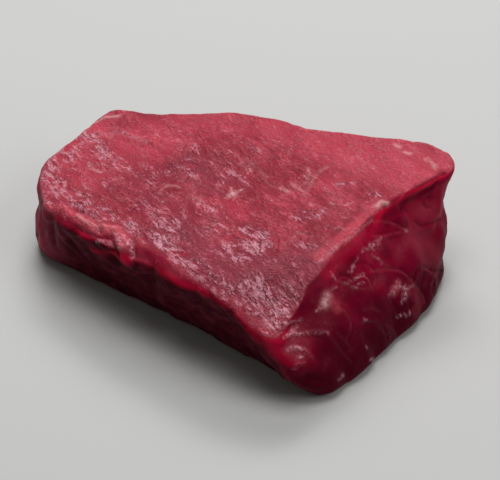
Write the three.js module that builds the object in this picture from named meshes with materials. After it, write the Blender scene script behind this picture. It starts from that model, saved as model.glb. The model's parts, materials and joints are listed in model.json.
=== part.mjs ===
// Raw round steak: one thick, lean, wedge-shaped slab cut across the grain.
//
// Frame: millimetres, +Z up, the origin under the middle of the slab on the surface it lies on.
// +X runs along the slab from its thin end to its thick end, and -Y is the side with the front nose.
// The slab is one closed skin. Rings of points run from the middle of the cut top, over the top edge,
// down the side and round the foot to the middle of the flat underside. The side leans outwards under
// the right-hand cut and is tucked under along the left, as an obliquely cut slab is.
import * as THREE from "three";
import { ImprovedNoise } from "three/addons/math/ImprovedNoise.js";

// ---- Driving dimensions, mm
const THICK_MIDDLE = 30.8; // height of the cut top above the middle of the slab
const THICK_SLOPE = 0.09; // rise of the top for each mm along +X
const CROWN = 0.9; // how far the middle of the top swells above that plane
const NOSE_DROP = 9; // how far the top rolls down at the front nose

// ---- Density of the skin
const AROUND = 160; // points in each ring of the side
const TOP_RINGS = 18; // rings of the top, each with points in step with its size
const FINE = 1.8; // how much closer they stand after the corners that follow
const FINE_CORNERS = ["front corner", "nose", "nose, right", "right cut", "right cut, far end"];
const EDGE_STEPS = 3; // rings over the top edge
const WALL_STEPS = 16; // rings down the side
const FOOT_STEPS = 3; // rings round the foot
const UNDER_RINGS = 4; // rings of the flat underside

// ---- Corners of the outline, in order round the slab with its middle on the left.
// top and foot: where the side meets the cut top and the table. soft: how far before the corner it
// starts to round, in mm. edge: radius of the top edge there. lip: how far the top edge overhangs the
// side just below it. bulge: how far the side swells between edge and foot.
const CORNERS = [
  { at: "thin end", top: [-65.3, 18.5], foot: [-65.8, 14.5], soft: 7, edge: 3.5, lip: 1.6, bulge: 0.8 },
  { at: "thin end, front", top: [-62.3, 3.5], foot: [-62.2, 8], soft: 5, edge: 3.5, lip: 0.8, bulge: 0.8 },
  { at: "front side", top: [-43.5, -14], foot: [-42, -5.6], soft: 9, edge: 2.6, lip: 1.2, bulge: 1 },
  { at: "front side, middle", top: [-24, -28.5], foot: [-20, -19.8], soft: 9, edge: 4.5, lip: 0.6, bulge: 1 },
  { at: "front corner", top: [-8, -40.3], foot: [4, -38.3], soft: 7, edge: 2.6, lip: 0.6, bulge: 0.8 },
  { at: "nose", top: [6.8, -51.7], foot: [19.5, -52.7], soft: 7, edge: 2.8, lip: 0, bulge: 2.2 },
  { at: "nose, right", top: [14, -40.5], foot: [30.5, -44.3], soft: 6, edge: 2.4, lip: 0, bulge: 1.8 },
  { at: "right cut", top: [37, -8], foot: [51.5, -17.5], soft: 5, edge: 1.4, lip: 0.8, bulge: 1.6 },
  { at: "right cut, far end", top: [51, 3], foot: [58, -3.2], soft: 5, edge: 1.2, lip: 1.6, bulge: 0.8 },
  { at: "tip", top: [61.2, 10.3], foot: [59.6, 10], soft: 3, edge: 1.6, lip: 2.2, bulge: 0.2 },
  { at: "tip, back", top: [59.5, 17.2], foot: [57.2, 14], soft: 3, edge: 1.6, lip: 1.6, bulge: 0.8 },
  { at: "back, right", top: [53, 23.2], foot: [51, 18], soft: 7, edge: 2, lip: 1, bulge: 1.5 },
  { at: "back, step", top: [17, 33.8], foot: [17, 28], soft: 3, edge: 2, lip: 0.6, bulge: 2 },
  { at: "back, past the step", top: [10, 38.8], foot: [9, 32], soft: 4, edge: 2, lip: 0.6, bulge: 2 },
  { at: "back, middle", top: [-9, 44.7], foot: [-9, 38], soft: 8, edge: 2, lip: 0.6, bulge: 2 },
  { at: "back, left", top: [-33, 47], foot: [-33, 39], soft: 4, edge: 2, lip: 0.8, bulge: 1.8 },
  { at: "far corner", top: [-44, 50.3], foot: [-43, 43], soft: 4, edge: 2.4, lip: 0.8, bulge: 1.2 },
  { at: "far corner, left", top: [-51.5, 38.8], foot: [-50.5, 34.5], soft: 5, edge: 3, lip: 0.4, bulge: 1.2 },
  { at: "left shoulder", top: [-63.2, 28.2], foot: [-62, 25], soft: 5, edge: 3.5, lip: 0.4, bulge: 1 },
];
const FOOT_RADIUS = 3; // radius where the side meets the table
const LIP_SHARE = 0.2; // share of the side, from the top, in which it comes back under the lip

// ---- Relief
const NOSE = { x: 8, y: -52, reach: 27 }; // where the top rolls down, and how far back that starts
const SWELLS = { length: 24, depth: 0.7 }; // broad unevenness of the whole skin
const RIPPLES = { length: 9, depth: 0.3 }; // finer unevenness
// Muscle bundles that show as pillows on the right-hand cut: their middles, in mm along the cut from
// the nose and up from the table.
const BUNDLES = {
  start: [20, -49], // foot of the nose
  end: [59, 3], // foot of the thick end
  crease: 0.8, // depth of the creases between bundles
  width: 2, // half width of a crease
  swell: 0.7, // how far a bundle's middle stands out
  rise: 5, // how far from a crease it has reached that
  reach: 14, // how far from the line between start and end they still show in full
  middles: [
    [-4, 18], [1, 6], [3, 28], [12, 19], [14, 31], [14, 6], [23, 25], [26, 10], [31, 18],
    [29, 31], [38, 9], [38, 26], [45, 32], [46, 18], [51, 4], [60, 26], [62, 12], [61, 1],
  ],
};
// Single dents and lumps: where they are, how far they reach and how far they move the skin outwards.
const SPOTS = [
  { at: "tag hanging from the front edge", x: -35.5, y: -19, z: 21.5, reach: 3, out: 2.6 },
  { at: "crevice left of the tag", x: -41.5, y: -14.5, z: 20, reach: 3.2, out: -1.8 },
  { at: "crevice right of the tag", x: -31, y: -22, z: 20, reach: 3, out: -1.8 },
  { at: "lump under the thin end's edge", x: -55.5, y: -1.5, z: 20, reach: 3.5, out: 1.3 },
  { at: "fold on the nose", x: 13, y: -48, z: 12, reach: 6, out: 1 },
  { at: "lobe at the foot of the thick end", x: 58.5, y: -4, z: 6, reach: 5, out: 1.4 },
  { at: "dip in the middle of the top", x: -6, y: 2, z: 31, reach: 15, out: -1 },
  { at: "swell behind it", x: 10, y: 20, z: 33, reach: 14, out: 0.8 },
];

const noise = new ImprovedNoise();
const smooth = THREE.MathUtils.smoothstep;
const lerp = THREE.MathUtils.lerp;

/** Height of the cut top over a point of the table, before relief. */
function topHeight(x, y) {
  const plane = THICK_MIDDLE + THICK_SLOPE * x;
  const dome = CROWN * (1 - Math.min(1, Math.hypot(x / 60, y / 45) ** 2));
  const toNose = Math.hypot(x - NOSE.x, y - NOSE.y);
  const roll = NOSE_DROP * (1 - smooth(toNose, 0, NOSE.reach));
  return plane + dome - roll;
}

/** The closed outline at one level: a straight stretch between two corners, and a curve at each. */
function outlinePath(level) {
  const n = CORNERS.length;
  const vector = (corner) => new THREE.Vector2(...corner[level]);
  const shifted = (from, to, distance) => {
    const step = to.clone().sub(from);
    return from.clone().add(step.setLength(Math.min(distance, step.length() * 0.48)));
  };
  const path = new THREE.CurvePath();
  CORNERS.forEach((corner, i) => {
    const next = CORNERS[(i + 1) % n];
    const here = vector(corner);
    const after = vector(next);
    const leave = shifted(here, after, corner.soft);
    const arrive = shifted(here, vector(CORNERS[(i + n - 1) % n]), corner.soft);
    path.add(new THREE.QuadraticBezierCurve(arrive, here, leave));
    path.add(new THREE.LineCurve(leave, shifted(after, here, next.soft)));
  });
  return path;
}

/** Stations round the slab, closer where the skin has detail, with what their corners say about the side. */
function outline() {
  const top = outlinePath("top");
  const foot = outlinePath("foot");
  const lengths = top.curves.map((curve, k) =>
    curve.getLength() * (FINE_CORNERS.includes(CORNERS[k >> 1].at) ? FINE : 1));
  const whole = lengths.reduce((sum, length) => sum + length, 0);
  const stations = [];
  for (let k = 0; k < AROUND; k++) {
    let left = (k / AROUND) * whole;
    let piece = 0;
    while (left > lengths[piece]) left -= lengths[piece++];
    const along = left / lengths[piece];
    // A bend belongs to its own corner, and a straight stretch blends its two corners' values.
    const corner = CORNERS[piece >> 1];
    const next = CORNERS[((piece >> 1) + 1) % CORNERS.length];
    const blend = piece % 2 ? smooth(along, 0, 1) : 0;
    const station = { top: top.curves[piece].getPoint(along), foot: foot.curves[piece].getPoint(along) };
    for (const name of ["edge", "lip", "bulge"]) station[name] = lerp(corner[name], next[name], blend);
    stations.push(station);
  }
  for (const level of ["top", "foot"]) {
    stations.forEach((station, k) => {
      const before = stations[(k + AROUND - 2) % AROUND][level];
      const after = stations[(k + 2) % AROUND][level];
      const along = after.clone().sub(before).normalize();
      station[level + "Out"] = new THREE.Vector2(along.y, -along.x);
    });
  }
  for (const station of stations) {
    station.inner = station.top.clone().addScaledVector(station.topOut, -station.edge);
    station.footInner = station.foot.clone().addScaledVector(station.footOut, -FOOT_RADIUS);
    station.height = topHeight(station.inner.x, station.inner.y);
  }
  return stations;
}

/** A ring inside the outline with points in step with its size: share of the way out from the middle. */
function innerRing(stations, level, share, height) {
  const count = Math.max(6, Math.round(AROUND * share));
  return Array.from({ length: count }, (_, k) => {
    const at = (k / count) * AROUND;
    const here = stations[Math.floor(at)][level];
    const next = stations[Math.ceil(at) % AROUND][level];
    const place = here.clone().lerp(next, at % 1).multiplyScalar(share);
    return new THREE.Vector3(place.x, place.y, height(place.x, place.y));
  });
}

/** All rings of the skin, from the middle of the top to the middle of the underside. */
function rings() {
  const stations = outline();
  const ring = (place) => stations.map((station) => new THREE.Vector3(...place(station)));
  const made = [];
  for (let step = 1; step <= TOP_RINGS; step++) {
    made.push(innerRing(stations, "inner", step / TOP_RINGS, topHeight));
  }
  for (let step = 1; step <= EDGE_STEPS; step++) {
    const turn = (step / EDGE_STEPS) * (Math.PI / 2);
    made.push(ring(({ inner, topOut, edge, height }) => [
      inner.x + topOut.x * edge * Math.sin(turn),
      inner.y + topOut.y * edge * Math.sin(turn),
      height - edge * (1 - Math.cos(turn)),
    ]));
  }
  for (let step = 1; step < WALL_STEPS; step++) {
    const down = step / WALL_STEPS;
    made.push(ring(({ top, foot, topOut, footOut, edge, lip, bulge, height }) => {
      const out = bulge * Math.sin(Math.PI * down) - lip * smooth(down, 0, LIP_SHARE) * (1 - down);
      const turned = topOut.clone().lerp(footOut, down);
      return [
        lerp(top.x, foot.x, down) + turned.x * out,
        lerp(top.y, foot.y, down) + turned.y * out,
        lerp(height - edge, FOOT_RADIUS, down),
      ];
    }));
  }
  for (let step = 0; step <= FOOT_STEPS; step++) {
    const turn = (step / FOOT_STEPS) * (Math.PI / 2);
    made.push(ring(({ footInner, footOut }) => [
      footInner.x + footOut.x * FOOT_RADIUS * Math.cos(turn),
      footInner.y + footOut.y * FOOT_RADIUS * Math.cos(turn),
      FOOT_RADIUS * (1 - Math.sin(turn)),
    ]));
  }
  for (let step = UNDER_RINGS - 1; step > 0; step--) {
    made.push(innerRing(stations, "footInner", step / UNDER_RINGS, () => 0));
  }
  return made;
}

/** Faces between two rings that may have different numbers of points, walked round side by side. */
function strip(faces, inner, outer) {
  const at = (ring, k) => ring.first + (k % ring.count);
  let i = 0;
  let o = 0;
  while (i < inner.count || o < outer.count) {
    if (i === inner.count || (o + 0.5) / outer.count <= (i + 0.5) / inner.count) {
      if (outer.count > 1) faces.push(at(inner, i), at(outer, o), at(outer, o + 1));
      o++;
    } else {
      if (inner.count > 1) faces.push(at(inner, i), at(outer, o), at(inner, i + 1));
      i++;
    }
  }
}

/** The closed skin through the rings, with one point at each end of them. */
function skin(allRings) {
  const first = [new THREE.Vector3(0, 0, topHeight(0, 0))];
  const last = [new THREE.Vector3(0, 0, 0)];
  const places = [];
  const spans = [first, ...allRings, last].map((ring) => {
    places.push(...ring);
    return { first: places.length - ring.length, count: ring.length };
  });
  const faces = [];
  for (let k = 0; k + 1 < spans.length; k++) strip(faces, spans[k], spans[k + 1]);
  const geometry = new THREE.BufferGeometry().setFromPoints(places);
  geometry.setIndex(faces);
  geometry.computeVertexNormals();
  return geometry;
}

/** Smooth noise between about -1 and 1 with waves of a given length. */
const waves = (point, { length }) =>
  1.6 * noise.noise(point.x / length + 7.3, point.y / length + 1.9, point.z / length + 4.1);

/** How far the pillows and creases of the muscle bundles move a point of the right-hand cut. */
function bundleRelief(point) {
  const start = new THREE.Vector2(...BUNDLES.start);
  const along = new THREE.Vector2(...BUNDLES.end).sub(start).normalize();
  const from = new THREE.Vector2(point.x, point.y).sub(start);
  const u = from.dot(along);
  const inwards = -from.cross(along);
  const distances = BUNDLES.middles.map(([mu, mv]) => Math.hypot(u - mu, point.z - mv));
  distances.sort((a, b) => a - b);
  const toCrease = (distances[1] - distances[0]) / 2;
  const pillow = BUNDLES.swell * smooth(toCrease, 0, BUNDLES.rise);
  const crease = BUNDLES.crease * Math.exp(-((toCrease / BUNDLES.width) ** 2));
  return (pillow - crease) * (1 - smooth(Math.abs(inwards), BUNDLES.reach, 1.6 * BUNDLES.reach));
}

/** How far the relief moves a point of the skin outwards. */
function relief(point, normal) {
  const side = 1 - smooth(normal.z, 0.2, 0.75);
  let out = SWELLS.depth * waves(point, SWELLS) + RIPPLES.depth * waves(point, RIPPLES);
  const rightCut = smooth(normal.x * 0.825 - normal.y * 0.567, 0.3, 0.7);
  out += side * rightCut * bundleRelief(point);
  for (const spot of SPOTS) {
    const away = Math.hypot(point.x - spot.x, point.y - spot.y, point.z - spot.z) / spot.reach;
    out += spot.out * Math.exp(-(away ** 2));
  }
  return out * smooth(point.z, 0, 5);
}

/** The finished slab's geometry. */
function steakGeometry() {
  const geometry = skin(rings());
  const places = geometry.getAttribute("position");
  const normals = geometry.getAttribute("normal");
  const point = new THREE.Vector3();
  const normal = new THREE.Vector3();
  for (let k = 0; k < places.count; k++) {
    point.fromBufferAttribute(places, k);
    normal.fromBufferAttribute(normals, k);
    point.addScaledVector(normal, relief(point, normal));
    places.setXYZ(k, point.x, point.y, Math.max(0, point.z));
  }
  geometry.computeBoundingBox();
  const middle = geometry.boundingBox.getCenter(new THREE.Vector3());
  geometry.translate(-middle.x, -middle.y, 0);
  geometry.computeVertexNormals();
  return geometry;
}

const meat = new THREE.MeshStandardMaterial({ color: 0x9c3040, roughness: 0.35, metalness: 0 });
const steak = new THREE.Mesh(steakGeometry(), meat);
steak.name = "steak";

const part = new THREE.Group();
part.add(steak);
export default part;
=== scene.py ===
"""Raw round steak: the skin, relief and wet finish of one wedge-shaped slab of lean meat.

The slab's solid comes from the frame. Its skin is subdivided here, the creases, folds and ridges that
its cut faces show are pressed into it, and it gets its colours and its wet sheen. Lengths are in
millimetres unless a name ends in _m, angles are in degrees, and every mesh is in metres.
"""

from __future__ import annotations

import json
import logging
import math
from collections.abc import Callable
from dataclasses import dataclass
from enum import Enum
from functools import partial

import bpy
import numpy as np
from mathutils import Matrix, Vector, noise
from mathutils.bvhtree import BVHTree
from mathutils.kdtree import KDTree

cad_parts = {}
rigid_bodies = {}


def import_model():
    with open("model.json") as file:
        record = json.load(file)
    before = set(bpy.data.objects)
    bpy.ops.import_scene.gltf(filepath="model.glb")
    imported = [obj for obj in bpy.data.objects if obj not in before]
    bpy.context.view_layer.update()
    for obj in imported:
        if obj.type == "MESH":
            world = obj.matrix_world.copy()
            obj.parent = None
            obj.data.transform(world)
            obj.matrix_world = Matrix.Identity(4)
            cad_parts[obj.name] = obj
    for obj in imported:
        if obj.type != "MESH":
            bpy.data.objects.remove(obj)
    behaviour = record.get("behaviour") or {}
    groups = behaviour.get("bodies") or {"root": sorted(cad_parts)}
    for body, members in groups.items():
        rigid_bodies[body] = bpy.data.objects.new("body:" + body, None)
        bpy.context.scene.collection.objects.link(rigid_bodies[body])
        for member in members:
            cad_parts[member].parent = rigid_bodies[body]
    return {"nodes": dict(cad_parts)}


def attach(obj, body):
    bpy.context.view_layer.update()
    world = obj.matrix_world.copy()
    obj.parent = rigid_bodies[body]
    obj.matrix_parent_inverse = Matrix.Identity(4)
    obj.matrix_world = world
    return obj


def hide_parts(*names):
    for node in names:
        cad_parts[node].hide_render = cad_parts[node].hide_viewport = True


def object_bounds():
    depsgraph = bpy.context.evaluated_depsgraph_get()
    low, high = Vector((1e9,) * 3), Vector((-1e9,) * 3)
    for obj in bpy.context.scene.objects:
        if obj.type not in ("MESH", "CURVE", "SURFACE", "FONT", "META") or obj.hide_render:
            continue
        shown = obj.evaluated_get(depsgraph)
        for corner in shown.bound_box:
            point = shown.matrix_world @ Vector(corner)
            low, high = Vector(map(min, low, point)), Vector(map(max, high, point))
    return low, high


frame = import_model()
CAD_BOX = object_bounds()

LOG = logging.getLogger("steak")
MM = 0.001
PHOTO_WIDTH, PHOTO_HEIGHT = 500, 480
TINY = 1e-6
FAR_AWAY = 1e9

Pixel = tuple[float, float]
Pair = tuple[float, float]
Band = tuple[float, float, float]
Colour = tuple[float, float, float]
Line = list[tuple[np.ndarray, np.ndarray]]


# ---------------------------------------------------------------------------------- the view


@dataclass(frozen=True)
class PhotoView:
    """The camera that took the photograph: how it stands to the slab."""

    elevation: float = 42.0
    distance: float = 700.0
    mm_per_pixel: float = 0.298
    target: tuple[float, float, float] = (2.08, 1.72, 16.0)
    sensor: float = 36.0
    clip_m: Pair = (0.01, 20.0)

    @property
    def back(self) -> Vector:
        """Direction from the slab towards the camera."""
        tilt = math.radians(self.elevation)
        return Vector((0.0, -math.cos(tilt), math.sin(tilt)))

    @property
    def place(self) -> Vector:
        """Where the camera stands, in metres."""
        return (Vector(self.target) + self.back * self.distance) * MM

    def ray(self, pixel: Pixel) -> Vector:
        """Direction from the camera through a pixel of the photograph.

        Args:
            pixel: Column and row in the photograph's frame.

        Returns:
            The direction, one unit long.
        """
        across = (pixel[0] - PHOTO_WIDTH / 2) * self.mm_per_pixel / self.distance
        down = (pixel[1] - PHOTO_HEIGHT / 2) * self.mm_per_pixel / self.distance
        right = Vector((1.0, 0.0, 0.0))
        up = self.back.cross(right)
        return (-self.back + right * across - up * down).normalized()

    def camera(self) -> bpy.types.Object:
        """Makes the scene's camera.

        Returns:
            The camera object.
        """
        data = bpy.data.cameras.new("photo_camera")
        data.sensor_width = self.sensor
        data.lens = self.sensor * self.distance / (self.mm_per_pixel * PHOTO_WIDTH)
        data.clip_start, data.clip_end = self.clip_m
        camera = bpy.data.objects.new("photo_camera", data)
        camera.location = self.place
        camera.rotation_euler = (-self.back).to_track_quat("-Z", "Y").to_euler()
        bpy.context.scene.collection.objects.link(camera)
        bpy.context.scene.camera = camera
        return camera


# ---------------------------------------------------------------------------------- marks


class Form(Enum):
    """What a mark does to the skin."""

    FLAT = "flat"
    CREASE = "crease"
    FOLD = "fold"
    RIDGE = "ridge"


class Paint(Enum):
    """What a mark does to the finish. Each value but the first names a layer of the finish."""

    NONE = "none"
    # pale marbling and skin, and painted highlights on ridges and under glints
    FAT = "fat"
    # wet patches: smoother, and with more painted sheen
    WET_AND_SHEEN = "wet"
    CORAL = "coral"
    # duller purple tone, and painted shade by the nose
    DULL_AND_SHADE = "dull"
    # glossier, with a painted highlight in its colour
    GLOSS_AND_HIGHLIGHT = "gloss"
    # paler pink: pale tissue, and painted sheen on the back of the top and on rounded rims
    PALE = "pale"
    # crimson: painted glow along rims facing sideways, painted shade where they face up, and the gristle
    # dot
    LIP = "lip"
    # painted shade on the cut and the nose, and a few darker cells
    SHADE_AND_DEEP_RED = "deep"


PAINTS = tuple(paint for paint in Paint if paint is not Paint.NONE)


@dataclass(frozen=True)
class Mark:
    """One line or patch on the skin. Its path is in pixels of the photograph.

    A fold is raised on the left of its path, as seen from outside, and sinks on its right.
    """

    name: str
    path: tuple[Pixel, ...]
    width: float
    depth: float = 0.0
    form: Form = Form.FLAT
    paint: Paint = Paint.NONE
    amount: float = 1.0


def relief(
    form: Form,
    name: str,
    width: float,
    depth: float,
    *path: Pixel,
    paint: Paint = Paint.NONE,
    amount: float = 1.0,
) -> Mark:
    """A mark that changes the skin's shape.

    Args:
        form: What it does to the skin.
        name: What it is.
        width: Its half width.
        depth: How deep or how high it is.
        path: Where it runs.
        paint: What it does to the finish.
        amount: How strongly it does so.

    Returns:
        The mark.
    """
    return Mark(name, path, width, depth, form, paint, amount)


crease: Callable[..., Mark] = partial(relief, Form.CREASE)
fold: Callable[..., Mark] = partial(relief, Form.FOLD)
ridge: Callable[..., Mark] = partial(relief, Form.RIDGE)


def patch(name: str, paint: Paint, width: float, amount: float, *path: Pixel) -> Mark:
    """A mark that changes the finish alone.

    Args:
        name: What it is.
        paint: What it does to the finish.
        width: Its half width.
        amount: How strong it is.
        path: Where it runs.

    Returns:
        The mark.
    """
    return Mark(name, path, width, paint=paint, amount=amount)


def membrane(name: str, amount: float, *path: Pixel, width: float = 0.45, depth: float = 0.12) -> Mark:
    """A thin pale skin that shows as a faint line, partly a painted highlight on its ridge.

    Args:
        name: What it is.
        amount: How pale it is.
        path: Where it runs.
        width: Its half width.
        depth: How high it stands.

    Returns:
        Its mark.
    """
    return ridge(name, width, depth, *path, paint=Paint.FAT, amount=amount)


def glint(name: str, amount: float, *path: Pixel, width: float = 0.38, depth: float = 0.2) -> Mark:
    """A wet ridge or edge, a little raised and glossier, with a painted highlight along it.

    Args:
        name: What it is.
        amount: How bright it is.
        path: Where it runs.
        width: Its half width.
        depth: How high it stands.

    Returns:
        Its mark.
    """
    return ridge(name, width, depth, *path, paint=Paint.GLOSS_AND_HIGHLIGHT, amount=amount)


CUT_CREASES: tuple[Mark, ...] = (
    crease("groove under the lip", 0.9, 0.6, (440, 181), (431, 188), (419, 195), (409, 200), (399, 207)),
    crease("second groove below it", 0.6, 0.35, (431, 196), (420, 199.5), (413, 200.5)),
    crease("nick in the upper cell", 0.5, 0.5, (422, 202.6), (426.6, 207.4), (431.4, 206.5)),
    crease("dark crease over the smooth cell", 0.5, 0.5, (414, 221), (421, 226.5), (431, 223), (441, 219)),
    crease("short crease at the seam's head", 0.5, 0.35, (400, 209), (404, 211), (408, 212)),
    crease("edge of the upper left cell", 0.5, 0.3, (389, 220), (399, 225), (407, 229)),
    fold("fold over the middle cell", 0.5, 0.4, (401, 231), (395, 232), (386.5, 234), (375, 236)),
    crease("seam between the big cells", 0.5, 0.15, (406.5, 218), (406, 228), (405.6, 240), (409, 252)),
    fold(
        "edge over the lower cell", 0.5, 0.4,
        (409, 282), (407, 276), (401, 271), (391, 269.6), (384, 270.5), (372, 271.5),
    ),
    crease("crease down to that edge", 0.5, 0.35, (380, 259), (387, 265), (392, 270)),
    fold(
        "arch of the right lobe", 0.6, 0.5,
        (433, 286), (434, 278), (431, 271), (424, 267), (417, 271), (413, 281),
    ),
    crease("notch by the flap", 0.6, 0.7, (430, 269), (436, 271), (443, 270)),
    crease("crease under the right lobe", 0.5, 0.3, (420, 287), (424, 293), (426, 300)),
    fold("first arc on the left", 0.5, 0.35, (372, 287), (368, 278), (362, 275), (352, 281), (345, 283)),
    fold("second arc on the left", 0.5, 0.35, (354, 283), (348, 277), (341, 276), (333, 284)),
    crease("crease from the rim", 0.5, 0.3, (353, 264), (361, 262), (371, 266), (376, 272)),
    crease("long crease down the left", 0.6, 0.3, (344, 311), (351, 322), (352, 331), (347, 341)),
    fold("arc low in the middle", 0.6, 0.25, (363, 322), (374, 321), (384, 329), (388, 340)),
    crease("crease to the foot", 0.6, 0.25, (392, 300), (398, 312), (399, 324)),
    crease("crease low on the right", 0.6, 0.3, (409, 283), (412, 296), (409, 310)),
)

# pale skins between the cut's cells, partly painted highlights on the ridges' lit edges
MEMBRANES_AND_HIGHLIGHTS: tuple[Mark, ...] = (
    membrane("over the upper left cell", 0.036, (373, 222), (381, 221), (390, 223), (398, 226), (404, 230)),
    membrane("under the upper left cell", 0.03, (374, 237), (383, 236.5), (392, 234), (401, 232)),
    membrane("beside the seam", 0.03, (404, 213), (408, 220), (410, 228)),
    membrane("white spot on the seam", 0.35, (405.6, 230.6), (407, 231)),
    membrane("down to the lower cell", 0.05, (374, 257), (381, 260), (388, 265), (393, 270)),
    membrane(
        "over the lower cell", 0.042,
        (371, 271), (380, 269.6), (391, 269), (400, 271), (407, 276), (413, 284),
    ),
    membrane("round the right lobe", 0.05, (422, 267), (428, 269.5), (432, 274), (433.5, 280), (431, 285)),
    membrane("edge of the flap", 0.054, (435, 277), (439, 271), (442, 268)),
    membrane("below the right lobe", 0.036, (413, 285), (418, 290), (422, 296), (424, 303)),
    membrane("arc on the left", 0.054, (357, 275), (364, 276), (369, 281), (371, 287)),
    membrane("long arc on the left", 0.036, (335, 280), (343, 283), (351, 287), (362, 289), (371, 288)),
    membrane("left of the middle", 0.036, (337, 308), (345, 312), (350.5, 320), (351, 328)),
    membrane("low in the middle", 0.03, (361, 323), (368, 321), (376, 322), (382, 328), (386, 335)),
    membrane("above it", 0.024, (363, 310), (371, 308), (379, 311)),
    membrane("down the nose", 0.018, (326, 331), (333, 340), (340, 350), (346, 357), (351, 363)),
    membrane("second down the nose", 0.018, (337, 333), (344, 340), (350, 347)),
    membrane("low on the right", 0.024, (386, 325), (392, 330), (396, 335)),
)

# painted highlights where the cut's wet ridges catch the light
GLINTS: tuple[Mark, ...] = (
    glint("star's long arm", 0.9, (371, 247), (375, 242), (380, 238.5)),
    glint("star's crossing arm", 0.8, (368.5, 242.5), (371, 247), (373, 249)),
    glint("star's short arm", 0.7, (374, 246), (379.5, 243.6)),
    glint("star's left arm", 0.7, (371, 247), (366, 249.5)),
    glint("left of the star", 0.5, (364, 249), (361, 252)),
    glint("down from it", 0.6, (357, 258), (355, 262)),
    glint("further down", 0.8, (354, 265), (351.5, 269), width=0.5),
    glint("its foot", 0.7, (348.5, 271.5), (352, 271)),
    glint("first dot in the middle", 0.6, (378, 258.6), (378.8, 259.4), width=0.45),
    glint("second dot", 0.6, (380.5, 262), (381.2, 262.8), width=0.45),
    glint("third dot", 0.4, (373.5, 257), (374.2, 257.4), width=0.45),
    glint("corner of the left lobe", 0.7, (331, 272), (332, 276), (335, 279)),
    glint("dash below the corner", 0.6, (331, 291), (333.5, 288), (336, 287)),
    glint("dash in the left cell", 0.6, (345, 283.5), (349, 282), (352, 280)),
    glint("top of the left arc", 0.8, (355, 279), (359, 276.6), (362, 275.4)),
    glint("end of the left arc", 0.6, (363, 272.5), (365, 276)),
    glint("dash inside the arc", 0.4, (358, 284), (364, 282.4)),
    glint("dash below the arc", 0.4, (352, 287.4), (357, 287.8)),
    glint("patch on the lower cell", 0.7, (398, 284.5), (395, 287), (393, 291), width=1.1),
    glint("edge of that patch", 0.8, (396.4, 283.6), (400, 287)),
    glint("spray beside it", 0.5, (390, 294), (388, 295.5)),
    glint("bright flake", 1.0, (404.4, 288), (405.6, 292), (405, 297), width=0.8),
    glint("bright flake's arm", 0.6, (404, 289), (409, 288), (412, 286)),
    glint("bright flake's tip", 0.6, (405, 297), (402.6, 300), (401.4, 304)),
    glint("dots at the foot of the cell", 0.7, (398, 316.6), (401, 315.6), width=0.5),
    glint("more dots there", 0.5, (404, 314.4), (406, 316), width=0.45),
    glint("last dots there", 0.6, (409.4, 311.6), (410, 315)),
    glint("spot in the middle", 0.6, (363.6, 319.6), (365.4, 319.4), width=0.45),
    glint("spot low in the middle", 0.45, (366, 347), (367, 348), width=0.45),
    glint("dash at the foot", 0.7, (369.5, 359.6), (374, 358.6)),
    glint("dot at the foot", 0.5, (376.5, 359.4), (378, 359)),
    glint("foot of the nose", 0.5, (339, 379), (343, 375), width=0.6),
)

# painted glow of light through the thin rims, and painted shade where they face up
RIM_GLOW_MARKS: tuple[Mark, ...] = (
    patch(
        "lip over the right cut", Paint.LIP, 1.25, 1.0,
        (444, 174), (433, 180), (417, 189), (405, 194), (391, 202), (380, 212), (375, 224),
    ),
    patch(
        "lip further down", Paint.LIP, 2.6, 0.34,
        (376, 224), (366, 233), (356, 242), (346, 252), (336, 262), (326, 272),
    ),
    patch(
        "front lip on the left", Paint.LIP, 1.3, 0.9,
        (58, 217), (66, 221), (74, 225), (82, 233), (90, 236), (100, 236), (113, 238),
    ),
    patch("crimson below the glint", Paint.LIP, 1.3, 0.55, (92, 250), (100, 252), (110, 253), (122, 258)),
    patch(
        "front lip behind the tag", Paint.LIP, 2.8, 0.95,
        (124, 258), (132, 250), (146, 254), (156, 260), (166, 268),
    ),
    patch(
        "front lip in the middle", Paint.LIP, 2.2, 0.85,
        (164, 267), (174, 274), (182, 281), (194, 284), (206, 292),
    ),
    patch(
        "front lip on the right", Paint.LIP, 1.4, 0.5,
        (204, 291), (216, 297), (228, 304), (236, 308), (243, 317), (251, 328),
    ),
    patch(
        "front lip of the nose", Paint.LIP, 2.2, 0.35,
        (250, 327), (259, 337), (267, 346), (276, 351), (285, 358), (290, 362),
    ),
    patch("front lip of the tip", Paint.LIP, 1.2, 0.7, (256, 331), (267, 339), (279, 341), (287, 335)),
    patch("crimson mound of the nose", Paint.LIP, 4.5, 0.08, (290, 343), (300, 350), (308, 362)),
)

# ridges of the nose with painted highlights
NOSE_MARKS: tuple[Mark, ...] = (
    glint("long ridge over the nose, left", 0.9, (284, 337), (291, 334), (300, 333.4), width=0.5),
    glint(
        "long ridge over the nose, right", 0.6,
        (300, 333.4), (308, 333), (315, 332), (328, 333), width=0.45, depth=0.15,
    ),
    crease("its shaded side", 0.7, 0.2, (285, 341), (297, 337.5), (311, 337), (324, 338)),
    glint(
        "ridge of the mound", 0.9,
        (288.5, 350), (292, 348), (297, 347.6), (303, 349.5), width=0.6, depth=0.35,
    ),
    glint("its end", 0.35, (303, 349.5), (308, 353), (313, 358), width=0.4, depth=0.4),
    glint("spot on the mound", 0.9, (299.5, 357.6), (302, 357), width=0.45),
    glint("short ridge above", 0.5, (286, 324), (295, 320), (302, 319.6), width=0.5, depth=0.12),
    glint("hook at the foot", 0.25, (294, 369), (297, 364), (304, 363.5), width=0.5, depth=0.4),
    crease("hollow beside the foot", 1.6, 0.8, (300, 377), (312, 379), (326, 381)),
)

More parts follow.
